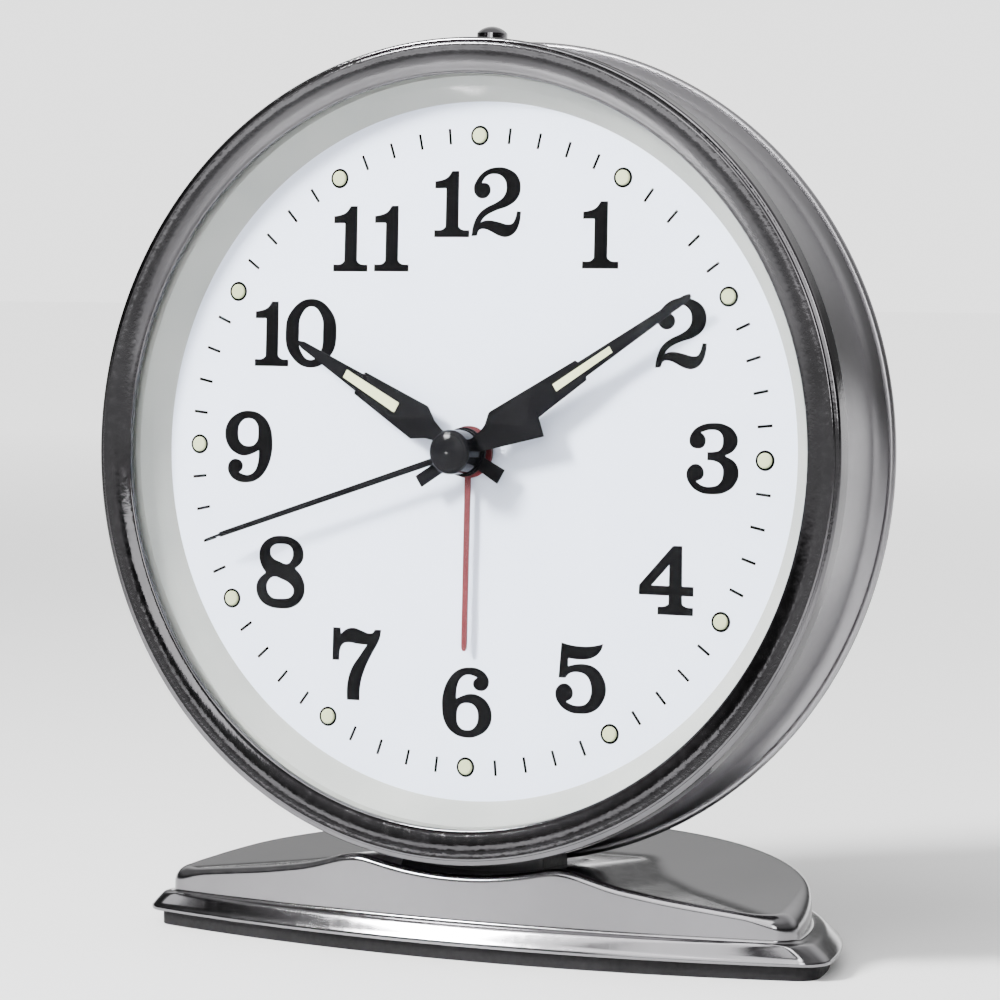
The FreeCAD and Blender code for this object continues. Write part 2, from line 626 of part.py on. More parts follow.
def middle_plate():
    base = slab(-27.3, 27.3, BRIDGE[0], BRIDGE[1], TRAIN_FLOOR + 0.2, 21.3)
    cuts = [disc(PLATE_SCREW_R, 0, 20, x, z) for x, z in PLATE_POSTS]
    cuts += [disc(ARBOR_R + RUN, 0, 20, *place) for place in (CENTRE, FIRST_AT, ROTOR_AT)]
    cuts.append(disc(1.9, 0, 20, *THIRD_AT))
    cuts += [disc(KNOB_ARBOR_R + 0.4, 0, 20, *place) for place in (TIME_AT, ALARM_AT)]
    return base.cut(cuts)


def plate_screws():
    screws = []
    for x, z in PLATE_POSTS:
        shank = disc(PLATE_SCREW_R, PLATE_BACK + 2.2, BRIDGE[1], x, z)
        head = disc(PLATE_SCREW_HEAD_R, BRIDGE[1], BRIDGE[1] + 0.8, x, z)
        screws.append(shank.fuse(head).removeSplitter())
    return Part.makeCompound(screws)


def movement_case():
    """Open-fronted box with a partition over the battery bay."""
    half, wall = BOX_HALF_X, BOX_WALL
    box = slab(-half, half, PLATE_BACK, COVER_INNER, BOX_BOTTOM, BOX_TOP)
    inside = slab(-half + wall, half - wall, 0, BACK_WALL, BOX_BOTTOM + wall, BOX_TOP - wall)
    floor = slab(-half + wall, half - wall, PLATE_BACK, BACK_WALL, TRAIN_FLOOR - 1.0, TRAIN_FLOOR)
    shape = box.cut(inside).fuse(floor).removeSplitter()
    cuts = [slab(-BAY_HALF_X, BAY_HALF_X, 16, 19, *BAY_Z)]
    cuts += [disc(ARBOR_R + RUN, 10, BACK_WALL + 1.0, *place)
             for place in (CENTRE, FIRST_AT, ROTOR_AT, THIRD_AT)]
    cuts += [disc(KNOB_ARBOR_R + RUN, 10, 20, *place) for place in (TIME_AT, ALARM_AT)]
    cuts += sound_holes()
    return shape.cut(cuts)


def battery():
    along_x = Vector(1, 0, 0)
    can = Part.makeCylinder(BATTERY_R - RUN, 2 * BATTERY_HALF - BATTERY_NUB,
                            Vector(-BATTERY_HALF, BATTERY_Y, BATTERY_Z), along_x)
    nub_start = Vector(BATTERY_HALF - BATTERY_NUB, BATTERY_Y, BATTERY_Z)
    nub = Part.makeCylinder(2.7, BATTERY_NUB, nub_start, along_x)
    return can.fuse(nub).removeSplitter()


def contact(side):
    """Sprung leaf at one end of the battery bay; side is -1 or +1."""
    wall_x = BOX_HALF_X - BOX_WALL
    leaf = slab(wall_x - 0.4, wall_x, BATTERY_Y - 5, BATTERY_Y + 5, BATTERY_Z - 5, BATTERY_Z + 5)
    bump = Part.makeCylinder(3.2, wall_x - BATTERY_HALF - 0.4,
                             Vector(BATTERY_HALF, BATTERY_Y, BATTERY_Z), Vector(1, 0, 0))
    shape = leaf.fuse(bump).removeSplitter()
    if side < 0:
        shape = shape.mirror(Vector(0, 0, 0), Vector(1, 0, 0))
    return shape


def stator():
    """U-shaped iron plate round the rotor, closed by the coil's core."""
    x, z = ROTOR_AT
    lower = slab(COIL_X - 1.7, x + 6.2, *IRON, z - 4.6, z + 4.6)
    right = slab(x + 4.4, x + 6.2, *IRON, z - 4.6, 21.0)
    top = slab(COIL_X - 1.7, x + 6.2, *IRON, 19.4, 21.0)
    core = slab(COIL_X - 0.9, COIL_X + 0.9, *IRON, z + 4.6, 19.4)
    shape = lower.fuse([right, top, core]).removeSplitter()
    return shape.cut(disc(MAGNET_R + 0.4, 10, 18, x, z))


def coil_parts():
    low, high = ROTOR_AT[1] + 4.8, 19.2
    cheek = 0.8
    core = slab(COIL_X - 0.9, COIL_X + 0.9, *IRON, low - 1, high + 1)
    tube = slab(COIL_X - 1.6, COIL_X + 1.6, IRON[0] - 0.7, IRON[1] + 0.7, low, high)
    ends = [slab(COIL_X - 3.1, COIL_X + 3.1, IRON[0] - 2.2, IRON[1] + 2.2, z, z + cheek)
            for z in (low, high - cheek)]
    bobbin = tube.fuse(ends).removeSplitter().cut(core)
    winding = slab(COIL_X - 2.7, COIL_X + 2.7, IRON[0] - 1.8, IRON[1] + 1.8, low + cheek, high - cheek)
    edges = [edge for edge in winding.Edges if abs(edge.tangentAt(0).z) > 0.9]
    winding = winding.makeFillet(1.6, edges).cut(tube)
    return bobbin, winding


def circuit():
    board = slab(12.6, 26.6, *BOARD, 5.0, 21.0)
    holes = [disc(0.5, 10, 18, 13.8, 6.2 + 2.0 * index) for index in range(4)]
    chip = slab(17.0, 21.5, BOARD[0] - 1.4, BOARD[0], 8.5, 13.5)
    can = pillar(1.0, 10.0, 16.0, 24.2, BOARD[0] - 1.0)
    posts = [slab(x, x + 2.0, BOARD[1], BACK_WALL, 18.0, 20.0) for x in (14.0, 23.0)]
    return board.cut(holes), chip, can, Part.makeCompound(posts)


def movement():
    export("front_plate", front_plate())
    export("middle_plate", middle_plate())
    export("plate_screws", plate_screws())
    export("movement_case", movement_case())
    export("aa_battery", battery())
    export("battery_contact_plus", contact(1))
    export("battery_contact_minus", contact(-1))
    export("stator", stator())
    bobbin, winding = coil_parts()
    export("coil_bobbin", bobbin)
    export("coil_winding", winding)
    board, chip, can, posts = circuit()
    export("circuit_board", board)
    export("timing_chip", chip)
    export("quartz_crystal", can)
    export("board_posts", posts)
    sounder = disc(SOUNDER_R, IRON[0] + 0.2, BACK_WALL, *SOUNDER_AT)
    export("sounder", sounder.cut(disc(1.0, 10, 15, *SOUNDER_AT)))


# ---------------------------------------------------------------- controls
def alarm_slider():
    """Alarm on-off slider: stem through the cover, flange inside, ribbed cap outside."""
    stem = slab(-3.9, -0.3, COVER_INNER - 0.9, COVER_OUTER + 0.4, 28.5, 31.5)
    flange = slab(-4.6, 0.4, COVER_INNER - 1.2, COVER_INNER - 0.3, 27.2, 32.8)
    cap = slab(-4.4, 0.2, COVER_OUTER + 0.3, COVER_OUTER + 1.6, 28.0, 32.0)
    grooves = [slab(x, x + 0.4, COVER_OUTER + 1.2, COVER_OUTER + 2, 27, 33) for x in (-3.5, -2.3, -1.1)]
    return stem.fuse([flange, cap]).removeSplitter().cut(grooves)


def top_button():
    brow = BUTTON_TOP - BUTTON_DOME
    head = pillar(BUTTON_R, BUTTON_HEAD_LOW, brow, 0, BUTTON_Y)
    dome_r = (BUTTON_R ** 2 + BUTTON_DOME ** 2) / (2 * BUTTON_DOME)
    ball = Part.makeSphere(dome_r, Vector(0, BUTTON_Y, BUTTON_TOP - dome_r))
    dome = ball.common(pillar(BUTTON_R, brow, BUTTON_TOP + 1, 0, BUTTON_Y))
    stem = pillar(BUTTON_STEM_R, BUTTON_STEM_LOW, BUTTON_HEAD_LOW, 0, BUTTON_Y)
    flange = pillar(1.9, 47.2, 47.8, 0, BUTTON_Y)
    return head.fuse([dome, stem, flange]).removeSplitter()


def button_bush():
    """Flanged bush in the case band that guides the button's stem."""
    sleeve = pillar(BUTTON_STEM_R + 0.9, 48.3, 51.0, 0, BUTTON_Y)
    collar = pillar(BUTTON_STEM_R + 1.5, 50.55, 51.0, 0, BUTTON_Y)
    seat = turned((0, LIP_BACK), ((BAND_R, LIP_BACK),), *band_outside(), ((0, 11.8),))
    sleeve = sleeve.fuse(collar.cut(seat)).removeSplitter()
    return sleeve.cut(pillar(BUTTON_STEM_R + RUN, 40, 60, 0, BUTTON_Y))


def button_spring():
    """Compression spring of eight-sided wire between the switch and the button's flange."""
    wire_r = 0.24
    coil_r = 1.56
    pitch = 0.85
    low = SWITCH_TOP + 0.3
    high = 46.9
    helix = Part.makeHelix(pitch, high - low, coil_r)
    corners = [polar(wire_r, 45.0 * corner + 22.5) for corner in range(8)]
    section = Part.makePolygon([Vector(coil_r + x, 0, z) for x, z in corners + corners[:1]])
    spring = Part.Wire(helix).makePipeShell([section], True, True)
    spring.translate(Vector(0, BUTTON_Y, low))
    return spring


def light_switch():
    """Switch body with the plunger that the button's stem presses."""
    body = slab(-3.5, 3.5, BUTTON_Y - SWITCH_HALF_Y, BUTTON_Y + SWITCH_HALF_Y, 39.0, SWITCH_TOP)
    plunger_top = BUTTON_STEM_LOW - RUN - BUTTON_TRAVEL
    plunger = pillar(0.9, SWITCH_TOP, plunger_top, 0, BUTTON_Y)
    return body.fuse(plunger).removeSplitter()


def switch_bracket():
    """Sheet bracket that stands on the movement box and holds the switch."""
    front = BUTTON_Y + SWITCH_HALF_Y
    foot = slab(-6, 6, BUTTON_Y - SWITCH_HALF_Y, front + 1.0, BOX_TOP, BOX_TOP + 1.2)
    blade = slab(-3.5, 3.5, front, front + 1.0, BOX_TOP, SWITCH_TOP)
    return foot.fuse(blade).removeSplitter()


def controls():
    export("alarm_slider", alarm_slider())
    export("top_button", top_button())
    export("button_bush", button_bush())
    export("button_spring", button_spring())
    export("light_switch", light_switch())
    export("switch_bracket", switch_bracket())


# ---------------------------------------------------------------- base
def lens(plan, inset, z0, z1):
    """Upright block whose plan is a shallow front arc and a deep back arc, tips rounded."""
    front, front_r, back_r, tip_r = plan
    front_arc = pillar(front_r - inset, z0, z1, 0, front + front_r)
    back_arc = pillar(back_r - inset, z0, z1, 0, BACK_ARC_Y)
    block = front_arc.common(back_arc)
    uprights = [edge for edge in block.Edges if abs(edge.Vertexes[0].Z - edge.Vertexes[-1].Z) > 0.5
                and abs(edge.Vertexes[0].X) > 30]
    return block.makeFillet(tip_r - inset / 2, uprights)


def deck_top(drop):
    """Everything below the sloping deck and the ridge, lowered by drop."""
    far = 60.0
    low = DECK_HEIGHT - DECK_SLOPE * far - drop
    high = DECK_HEIGHT + DECK_SLOPE * far - drop
    deck = outline((-far, -far, -10), ((-far, far, -10),), ((-far, far, high),), ((-far, -far, low),))
    deck = Part.Face(deck).extrude(Vector(2 * far, 0, 0))
    lift = RIDGE_FALL * (far + RIDGE_CREST_Y) - drop

    def corner(x, z):
        return (x, -far, z + lift)

    ridge = outline((-far, -far, -20), (corner(-far, 6.7),),
                    (corner(-41.4, 8.1),),
                    (corner(-28.0, 9.6), corner(-21.5, 10.6)),
                    (corner(-15.5, 12.3),),
                    (corner(15.5, 12.3),),
                    (corner(21.5, 10.6),),
                    (corner(28.0, 9.6), corner(41.4, 8.1)),
                    (corner(far, 6.7),),
                    ((far, -far, -20),))
    ridge = Part.Face(ridge).extrude(Vector(0, 2 * far, -RIDGE_FALL * 2 * far))
    return deck.fuse(ridge)


def saddle(radius):
    """Space round the drum, in the base's own frame."""
    shape = disc(radius, -30, SADDLE_BACK)
    shape.rotate(Vector(0, 0, 0), Vector(1, 0, 0), -LEAN_DEG)
    shape.translate(Vector(0, 0, DIAL_HEIGHT))
    return shape


def base_body(inset, drop, z0):
    block = lens(BODY_PLAN, inset, z0, 30.0)
    return block.common(deck_top(drop)).cut(saddle(SADDLE_R + drop))


def base_shell():
    skirt = lens(SKIRT_PLAN, 0.0, PAD_TOP, SKIRT_TOP)
    rim = [edge for edge in skirt.Edges if min(v.Z for v in edge.Vertexes) > SKIRT_TOP - 0.01]
    skirt = skirt.makeFillet(SKIRT_ROUNDING, rim)
    shape = skirt.fuse(base_body(0.0, 0.0, PAD_TOP)).removeSplitter()
    inside = base_body(SHELL_WALL, SHELL_WALL, PAD_TOP - 1)
    under_skirt = lens(SKIRT_PLAN, PLATE_INSET - 0.2, PAD_TOP - 1, PLATE_TOP)
    window = slab(-FOOT_HALF_X, FOOT_HALF_X, *FOOT_Y, PAD_TOP, 30)
    return shape.cut([inside, under_skirt, window])


def base_weight():
    gap = WEIGHT_GAP
    shape = base_body(SHELL_WALL + gap, SHELL_WALL + gap, PLATE_TOP)
    window = slab(-FOOT_HALF_X - gap, FOOT_HALF_X + gap, FOOT_Y[0] - gap, FOOT_Y[1] + gap, FOOT_LOW, 30)
    return shape.cut([window] + screw_shanks(0, 20))


def base_plate():
    return lens(SKIRT_PLAN, PLATE_INSET, PAD_TOP, PLATE_TOP).cut(screw_shanks(0, 20))


def screw_shanks(z0, z1):
    """The two screws up from the base plate into the saddle bracket."""
    return [pillar(HEAD_SCREW_R, z0, z1, x, HEAD_SCREW_Y) for x in (-HEAD_SCREW_X, HEAD_SCREW_X)]


def saddle_bracket():
    """Curved block that joins the drum to the base."""
    foot = slab(-FOOT_HALF_X, FOOT_HALF_X, *FOOT_Y, FOOT_LOW, 16.0)
    drum_space = turned((0, LIP_BACK), ((BAND_R, LIP_BACK),), *band_outside(), ((0, 11.8),))
    drum_space.rotate(Vector(0, 0, 0), Vector(1, 0, 0), -LEAN_DEG)
    drum_space.translate(Vector(0, 0, DIAL_HEIGHT))
    return foot.cut([drum_space] + screw_shanks(0, HEAD_SCREW_TOP))


def base():
    export("base_shell", base_shell(), on_head=False)
    export("base_weight", base_weight(), on_head=False)
    export("base_plate", base_plate(), on_head=False)
    export("base_pad", lens(PAD_PLAN, 0.0, 0, PAD_TOP), on_head=False)
    export("head_screws", Part.makeCompound(screw_shanks(PAD_TOP, HEAD_SCREW_TOP)), on_head=False)
    export("saddle_bracket", saddle_bracket(), on_head=False)


os.makedirs("parts", exist_ok=True)
base()
drum()
movement()
second_train()
motion_work()
alarm_work()
hands()
controls()
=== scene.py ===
"""Looks of the round alarm clock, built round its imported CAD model.

Lengths of the clock are millimetres, and MM turns them into metres where a mesh is made.
The drum is described in a frame of its own: the dial's front is the plane y = 0, its centre is
the origin and y grows towards the back. HEAD leans that frame back and lifts it.
Places and sizes of the lights, the floor and the camera are metres.
"""

import math

import bmesh
import bpy
from mathutils import Matrix, Vector


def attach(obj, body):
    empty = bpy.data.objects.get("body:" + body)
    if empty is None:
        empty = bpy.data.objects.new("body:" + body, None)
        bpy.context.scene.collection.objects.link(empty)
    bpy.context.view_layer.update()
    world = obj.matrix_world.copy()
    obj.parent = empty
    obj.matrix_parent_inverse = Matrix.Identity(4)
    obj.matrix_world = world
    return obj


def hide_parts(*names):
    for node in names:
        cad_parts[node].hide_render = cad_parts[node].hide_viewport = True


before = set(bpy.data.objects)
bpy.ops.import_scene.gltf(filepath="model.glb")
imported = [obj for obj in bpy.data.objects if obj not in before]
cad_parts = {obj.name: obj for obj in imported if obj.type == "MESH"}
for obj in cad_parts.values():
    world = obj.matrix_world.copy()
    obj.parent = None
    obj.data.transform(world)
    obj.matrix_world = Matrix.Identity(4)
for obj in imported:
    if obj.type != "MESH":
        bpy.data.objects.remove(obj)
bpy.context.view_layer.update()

MM = 0.001
LEAN = math.radians(3.0)
DIAL_HEIGHT = 63.85
TURNS = 256                      # points round a large turned part
DOT_CIRCLE_R = 40.0
NUMERAL_FRONT = -0.02            # printing stands this proud of the dial

HEAD = Matrix.Translation((0, 0, DIAL_HEIGHT * MM)) @ Matrix.Rotation(-LEAN, 4, "X")


# ---------------------------------------------------------------- meshes
def new_piece(name, points, faces, smooth=True, placed=HEAD):
    """Mesh object from millimetre points, placed in the clock's frame."""
    mesh = bpy.data.meshes.new(name)
    mesh.from_pydata([placed @ (Vector(p) * MM) for p in points], [], faces)
    mesh.validate()
    if smooth:
        mesh.polygons.foreach_set("use_smooth", [True] * len(mesh.polygons))
    piece = bpy.data.objects.new(name, mesh)
    bpy.context.scene.collection.objects.link(piece)
    return piece


def tidy_normals(piece):
    work = bmesh.new()
    work.from_mesh(piece.data)
    bmesh.ops.recalc_face_normals(work, faces=work.faces)
    work.to_mesh(piece.data)
    work.free()
    return piece


def arc(start, middle, end, steps=8):
    """Points along the circle through three points, without the first one."""
    (ax, ay), (bx, by), (cx, cy) = start, middle, end
    d = 2 * (ax * (by - cy) + bx * (cy - ay) + cx * (ay - by))
    a2, b2, c2 = ax * ax + ay * ay, bx * bx + by * by, cx * cx + cy * cy
    ux = (a2 * (by - cy) + b2 * (cy - ay) + c2 * (ay - by)) / d
    uy = (a2 * (cx - bx) + b2 * (ax - cx) + c2 * (bx - ax)) / d
    radius = math.hypot(ax - ux, ay - uy)
    first = math.atan2(ay - uy, ax - ux)
    second = math.atan2(by - uy, bx - ux)
    last = math.atan2(cy - uy, cx - ux)
    turn = (last - first) % (2 * math.pi)
    if (second - first) % (2 * math.pi) > turn:
        turn -= 2 * math.pi
    out = []
    for step in range(1, steps + 1):
        angle = first + turn * step / steps
        out.append((ux + radius * math.cos(angle), uy + radius * math.sin(angle)))
    return out


def profile(start, *steps):
    """Points of an outline: a step of one point is a line, of two an arc through the first."""
    points = [start]
    for step in steps:
        if len(step) == 2:
            points += arc(points[-1], step[0], step[1])
        else:
            points.append(step[0])
    return points


def lathe(name, points, closed=True):
    """Turn (radius, y) points about the head's axis."""
    rings = []
    verts = []
    for radius, y in points:
        if radius < 1e-6:
            rings.append([len(verts)])
            verts.append((0, y, 0))
        else:
            rings.append(list(range(len(verts), len(verts) + TURNS)))
            for step in range(TURNS):
                angle = 2 * math.pi * step / TURNS
                verts.append((radius * math.cos(angle), y, radius * math.sin(angle)))
    faces = []
    pairs = list(zip(rings, rings[1:]))
    if closed:
        pairs.append((rings[-1], rings[0]))
    for one, two in pairs:
        for step in range(TURNS):
            nxt = (step + 1) % TURNS
            if len(one) == 1 and len(two) == 1:
                break
            if len(one) == 1:
                faces.append((one[0], two[nxt], two[step]))
            elif len(two) == 1:
                faces.append((one[step], one[nxt], two[0]))
            else:
                faces.append((one[step], one[nxt], two[nxt], two[step]))
    return tidy_normals(new_piece(name, verts, faces))


def sharp_by_angle(piece, degrees=35.0):
    """Mark edges sharper than an angle, so that smooth shading stops there."""
    limit = math.radians(degrees)
    work = bmesh.new()
    work.from_mesh(piece.data)
    for edge in work.edges:
        if len(edge.link_faces) == 2 and edge.calc_face_angle(0) > limit:
            edge.smooth = False
    work.to_mesh(piece.data)
    work.free()
    return piece


# ---------------------------------------------------------------- material helpers
PIT_DEPTH = 0.03


def material(name):
    mat = bpy.data.materials.new(name)
    mat.use_nodes = True
    tree = mat.node_tree
    shader = tree.nodes["Principled BSDF"]
    return mat, tree, shader


def node(tree, kind, **settings):
    made = tree.nodes.new(kind)
    for key, value in settings.items():
        if key in made.inputs:
            made.inputs[key].default_value = value
        else:
            setattr(made, key, value)
    return made


def ramp(tree, source, stops):
    """Colour ramp from a value; stops are (position, grey or rgb)."""
    made = tree.nodes.new("ShaderNodeValToRGB")
    bands = made.color_ramp.elements
    while len(bands) < len(stops):
        bands.new(0.5)
    for band, (position, colour) in zip(bands, stops):
        band.position = position
        if isinstance(colour, (int, float)):
            colour = (colour, colour, colour)
        band.color = (*colour, 1)
    tree.links.new(source, made.inputs["Fac"])
    return made.outputs["Color"]


def noise(tree, scale, detail=4.0):
    """Value of a noise in object space, in metres."""
    place = node(tree, "ShaderNodeTexCoord")
    made = node(tree, "ShaderNodeTexNoise", Scale=scale, Detail=detail)
    tree.links.new(place.outputs["Object"], made.inputs["Vector"])
    return made.outputs["Fac"]


def bump(tree, shader, height, strength, distance):
    made = node(tree, "ShaderNodeBump", Strength=strength, Distance=distance)
    tree.links.new(height, made.inputs["Height"])
    tree.links.new(made.outputs["Normal"], shader.inputs["Normal"])


def metal(name, dark, light, rough_low, rough_high, cloud=60.0, grain=0.0, grain_scale=2500.0,
          grain_depth=0.02):
    """Metal whose colour and gloss drift slightly from place to place; grain_depth is in mm."""
    mat, tree, shader = material(name)
    shader.inputs["Metallic"].default_value = 1.0
    clouds = noise(tree, cloud)
    tree.links.new(ramp(tree, clouds, [(0.3, dark), (0.7, light)]), shader.inputs["Base Color"])
    fine = noise(tree, 900.0, detail=6.0)
    tree.links.new(ramp(tree, fine, [(0.3, rough_low), (0.75, rough_high)]), shader.inputs["Roughness"])
    if grain:
        bump(tree, shader, noise(tree, grain_scale, detail=3.0), grain, grain_depth * MM)
    return mat


def plastic(name, dark, light, rough_low, rough_high, pit=0.1, scale=1500.0, specular=0.5):
    """Moulded plastic or paint with a fine texture."""
    mat, tree, shader = material(name)
    clouds = noise(tree, 80.0)
    tree.links.new(ramp(tree, clouds, [(0.35, dark), (0.65, light)]), shader.inputs["Base Color"])
    fine = noise(tree, scale, detail=5.0)
    tree.links.new(ramp(tree, fine, [(0.3, rough_low), (0.7, rough_high)]), shader.inputs["Roughness"])
    bump(tree, shader, fine, pit, PIT_DEPTH * MM)
    shader.inputs["Specular IOR Level"].default_value = specular
    return mat


polished = metal("polished_nickel", (0.09, 0.088, 0.092), (0.13, 0.127, 0.133), 0.05, 0.14, grain=0.5,
                 grain_scale=1300.0, grain_depth=0.03)
base_metal = metal("base_nickel", (0.16, 0.157, 0.163), (0.19, 0.186, 0.194), 0.10, 0.18, cloud=45.0,
                   grain=0.15, grain_scale=900.0)
satin = metal("satin_nickel", (0.215, 0.21, 0.22), (0.245, 0.24, 0.25), 0.28, 0.34, cloud=18.0)
steel = metal("bright_steel", (0.45, 0.45, 0.46), (0.6, 0.6, 0.61), 0.25, 0.4, grain=0.1)
sheet_iron = metal("sheet_iron", (0.30, 0.29, 0.28), (0.42, 0.41, 0.40), 0.35, 0.5, grain=0.2)
casting = metal("cast_ballast", (0.16, 0.16, 0.17), (0.26, 0.26, 0.27), 0.5, 0.75, grain=0.6)
brass = metal("sprung_brass", (0.62, 0.5, 0.28), (0.75, 0.62, 0.36), 0.2, 0.35)
copper = metal("copper_wire", (0.5, 0.2, 0.09), (0.7, 0.32, 0.16), 0.25, 0.4, grain=0.5)
black_gloss = plastic("black_enamel", (0.003, 0.003, 0.004), (0.006, 0.006, 0.007), 0.08, 0.16,
                      pit=0.03, specular=0.08)
hand_black = plastic("hand_black", (0.002, 0.002, 0.0025), (0.004, 0.004, 0.005), 0.5, 0.6,
                     pit=0.05, specular=0.05)
black_print = plastic("black_ink", (0.0008, 0.0008, 0.001), (0.0016, 0.0016, 0.002), 0.7, 0.8,
                      specular=0.05)
# black moulding of the movement's plastic parts; on the saddle bracket the same black is painted shade for
# the gap under the drum
black_moulded_and_shade = plastic("black_moulding_and_shade", (0.012, 0.012, 0.013), (0.02, 0.02, 0.022), 0.45, 0.6, pit=0.4)
black_knob = plastic("black_knob", (0.012, 0.012, 0.013), (0.018, 0.018, 0.02), 0.25, 0.4, pit=0.15)
white_nylon = plastic("white_nylon", (0.72, 0.72, 0.66), (0.8, 0.8, 0.75), 0.35, 0.5)
pad_rubber = plastic("pad_rubber", (0.003, 0.0028, 0.0032), (0.007, 0.0065, 0.0075), 0.6, 0.8,
                     pit=0.5, specular=0.2)
ring_paint = plastic("ring_paint", (0.34, 0.355, 0.335), (0.40, 0.415, 0.39), 0.4, 0.55)
dial_paint = plastic("dial_paint", (0.74, 0.81, 0.97), (0.76, 0.83, 0.99), 0.5, 0.6, pit=0.05)
red_paint = plastic("red_paint", (0.07, 0.001, 0.004), (0.10, 0.002, 0.006), 0.4, 0.5, pit=0.05)
board_green = plastic("board_laminate", (0.02, 0.10, 0.045), (0.03, 0.16, 0.07), 0.35, 0.5)
cell_sleeve = plastic("cell_sleeve", (0.05, 0.06, 0.09), (0.07, 0.08, 0.12), 0.25, 0.35)
ferrite = plastic("ferrite", (0.03, 0.03, 0.035), (0.05, 0.05, 0.055), 0.5, 0.7)
dot_lume = plastic("dot_lume", (0.40, 0.45, 0.24), (0.52, 0.57, 0.33), 0.5, 0.65, pit=0.3)
hand_lume = plastic("hand_lume", (0.58, 0.62, 0.32), (0.70, 0.74, 0.42), 0.5, 0.65, pit=0.3)


def clear_glass():
    """Thin clear crystal: mirrors a small part of the Fresnel share and lets the rest through."""
    mat, tree, shader = material("clear_glass")
    shader.inputs["Metallic"].default_value = 1.0
    shader.inputs["Roughness"].default_value = 0.03
    smear = noise(tree, 40.0, detail=3.0)
    tree.links.new(ramp(tree, smear, [(0.4, (0.86, 0.88, 0.9)), (0.6, (0.92, 0.93, 0.95))]),
                   shader.inputs["Base Color"])
    share = node(tree, "ShaderNodeFresnel", IOR=1.45)
    coated = node(tree, "ShaderNodeMath", operation="MULTIPLY")
    coated.inputs[1].default_value = 0.05
    tree.links.new(share.outputs["Fac"], coated.inputs[0])
    tree.links.new(coated.outputs["Value"], shader.inputs["Alpha"])
    return mat


glass = clear_glass()


# ---------------------------------------------------------------- drum
def add(piece, mat, body, stands_for=None):
    piece.data.materials.append(mat)
    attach(piece, body)
    if stands_for:
        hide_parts(stands_for)
    return piece


def drum():
    bezel = profile((47.5, -4.3), ((47.5, -4.85),), ((47.56, -5.05), (47.75, -5.12)),
                    ((49.5, -5.6), (51.05, -5.7)), ((51.3, -5.62), (51.35, -5.42)),
                    ((51.6, -5.38),), ((51.9, -5.26), (52.0, -4.98)), ((52.0, -2.9),),
                    ((51.92, -2.68), (51.7, -2.6)), ((50.42, -2.6),), ((50.42, -4.3),))
    add(sharp_by_angle(lathe("bezel_polished", bezel)), polished, "clock", "front_bezel")

    band = profile((50.4, -4.28), ((50.4, -2.0),), ((50.9, 7.6),), ((51.15, 9.4), (51.95, 10.75)),
                   ((52.8, 11.25), (52.1, 11.8)), ((51.2, 11.8),), ((50.45, 9.9), (50.1, 7.8)),
                   ((49.62, -2.0),), ((49.62, -4.28),))
    add(sharp_by_angle(lathe("band_flared", band), 60.0), satin, "clock", "case_band")

    rise, half, edge, thick = 5.2, 47.0, 48.85, 1.4
    rim_front, rim_back = -4.3, -2.92
    outer = rim_front - rise
    inner = rim_front + thick - rise
    radius = (half ** 2 + rise ** 2) / (2 * rise)
    middle = radius - math.sqrt(radius ** 2 - (half / 2) ** 2)
    dome = [(0, outer)] + arc((0, outer), (half / 2, outer + middle), (half, rim_front), 40)
    dome += [(edge, rim_front), (edge, rim_back), (half, rim_back)]
    dome += arc((half, rim_back), (half / 2, inner + middle), (0, inner), 40)
    add(sharp_by_angle(lathe("crystal_domed", dome, closed=False), 25.0), glass, "clock", "crystal")

    ring = [(44.3, -0.01), (47.3, -2.88), (49.6, -2.88), (49.6, -0.01)]
    add(sharp_by_angle(lathe("reflector_conical", ring)), ring_paint, "clock", "reflector_ring")


drum()


# ---------------------------------------------------------------- base
# plans: (y of the front, radius of the front's arc, of the back's arc, of the tips)
WALL_PLAN = (-5.6, 234.0, 44.7, 3.0)
RIM_PLAN = (-7.6, 176.0, 48.6, 3.5)
PAD_TOP = 1.85                   # heights are from the surface that the clock stands on
FOOT = 4.55                      # of the walls, over the skirt
WALL_LOW = 5.05                  # the walls are plumb from here up
FRONT_STEPS = 440                # along the front, and along the back
TIP_STEPS = 14
DECK_STEPS = 90                  # from the front to the back
CREASE_STEPS = 10
CREASE = 0.9                     # radius of the rounding over the walls
CREASE_EXTRA = 1.7               # it is this much wider at the two front corners
BACK_ARC_Y = -4.2                # centre of every arc along the back
# the skirt's lip: (distance in from the rim, height); its face: (share of the way in, height)
SKIRT_LIP = ((2.4, PAD_TOP), (0.25, PAD_TOP), (0.05, 1.93), (0.0, 2.1), (0.0, 2.35), (0.12, 2.55))
SKIRT_FACE = ((0.15, 3.05), (0.3, 3.53), (0.45, 3.98), (0.53, 4.19), (0.6, 4.33), (0.67, 4.4),
              (0.75, 4.44), (0.88, 4.5), (1.0, FOOT))
SKIRT_GAP = 0.35                 # the skirt's face ends this far out from the walls
# the fillet at the foot of the walls: (distance out from the walls, height)
FOOT_FILLET = ((0.22, 4.61), (0.1, 4.7), (0.02, 4.85), (0.0, WALL_LOW))
DECK_HEIGHT = 8.0                # of the sloping deck at y = 0
DECK_SLOPE = 0.08
# the ridge's cross-section at its crest: (x, height) of its corners
RIDGE = ((15.5, 12.3), (21.5, 10.6), (28.0, 9.6), (41.4, 8.1), (50.0, 7.4))
RIDGE_EASE = 1.6                 # the corners are eased over this distance
RIDGE_CREST_Y = -5.0
RIDGE_FALL = 0.09                # and it sinks towards the back
VALLEY = 0.35                    # width of the fillets between deck, ridge and hollow
SADDLE_R = 53.4                  # hollow in the ridge, round the drum's axis
SADDLE_HALF_X = 30.0
SADDLE_END_Y = 14.5
SADDLE_RISE = (12.4, 13.4)       # the hollow's back end rises out of the deck between these y
SADDLE_LIFT = 8.0


